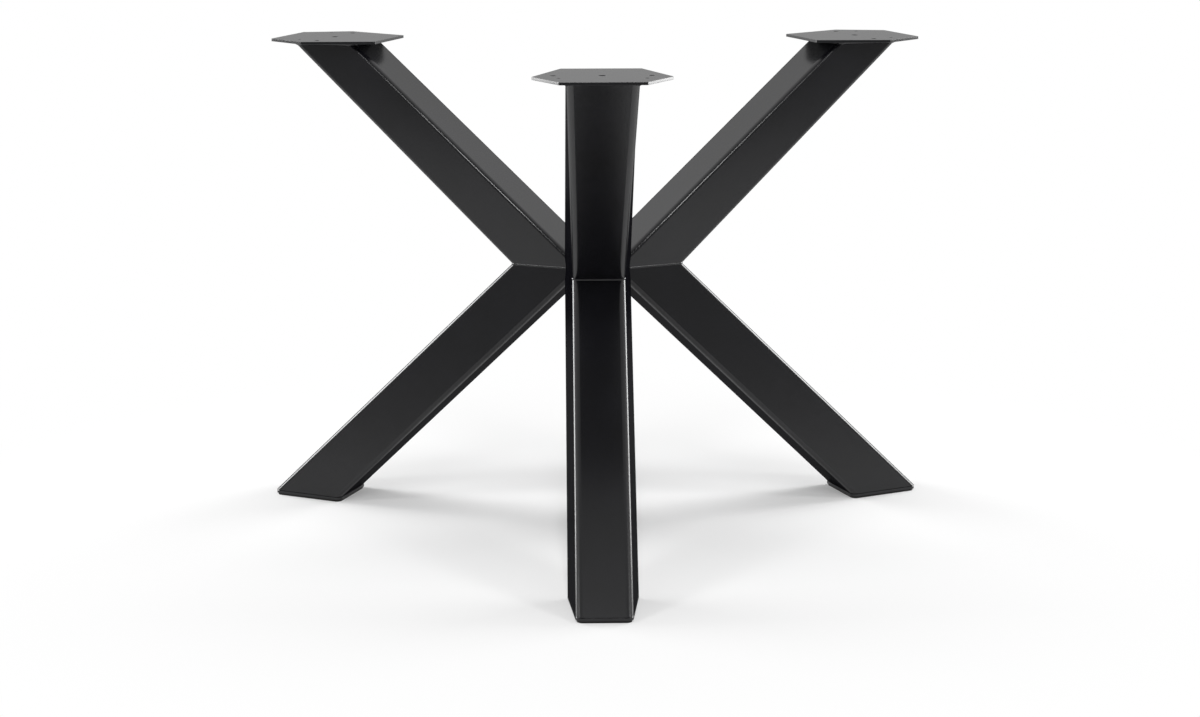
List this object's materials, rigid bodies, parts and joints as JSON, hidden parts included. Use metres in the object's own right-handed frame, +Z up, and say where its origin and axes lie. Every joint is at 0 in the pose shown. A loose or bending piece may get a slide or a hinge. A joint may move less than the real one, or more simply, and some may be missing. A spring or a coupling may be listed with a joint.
{
  "type": "table base",
  "caption": "Free-standing steel table base: sideways V legs of mitred box section meet at a hub, with a drilled plate on each upper arm and a padded foot on each lower arm.",
  "frame": {"origin": "on the floor, on the central axis of the hub", "axes": "+Z up along the central axis; the front leg points along -Y"},
  "size_m": [1.0078, 0.7614, 0.72],
  "materials": {
    "powder_coat": "satin black powder coat on steel",
    "pad": "matt black floor protector"
  },
  "bodies": {
    "root": {"front_upper_arm": "powder_coat", "front_lower_arm": "powder_coat", "front_mitre_weld": "powder_coat", "front_mounting_plate": "powder_coat", "front_plate_weld": "powder_coat", "front_foot_plate": "powder_coat", "front_foot_pad": "pad", "right_upper_arm": "powder_coat", "right_lower_arm": "powder_coat", "right_mitre_weld": "powder_coat", "right_mounting_plate": "powder_coat", "right_plate_weld": "powder_coat", "right_foot_plate": "powder_coat", "right_foot_pad": "pad", "left_upper_arm": "powder_coat", "left_lower_arm": "powder_coat", "left_mitre_weld": "powder_coat", "left_mounting_plate": "powder_coat", "left_plate_weld": "powder_coat", "left_foot_plate": "powder_coat", "left_foot_pad": "pad"}
  },
  "joints": []
}
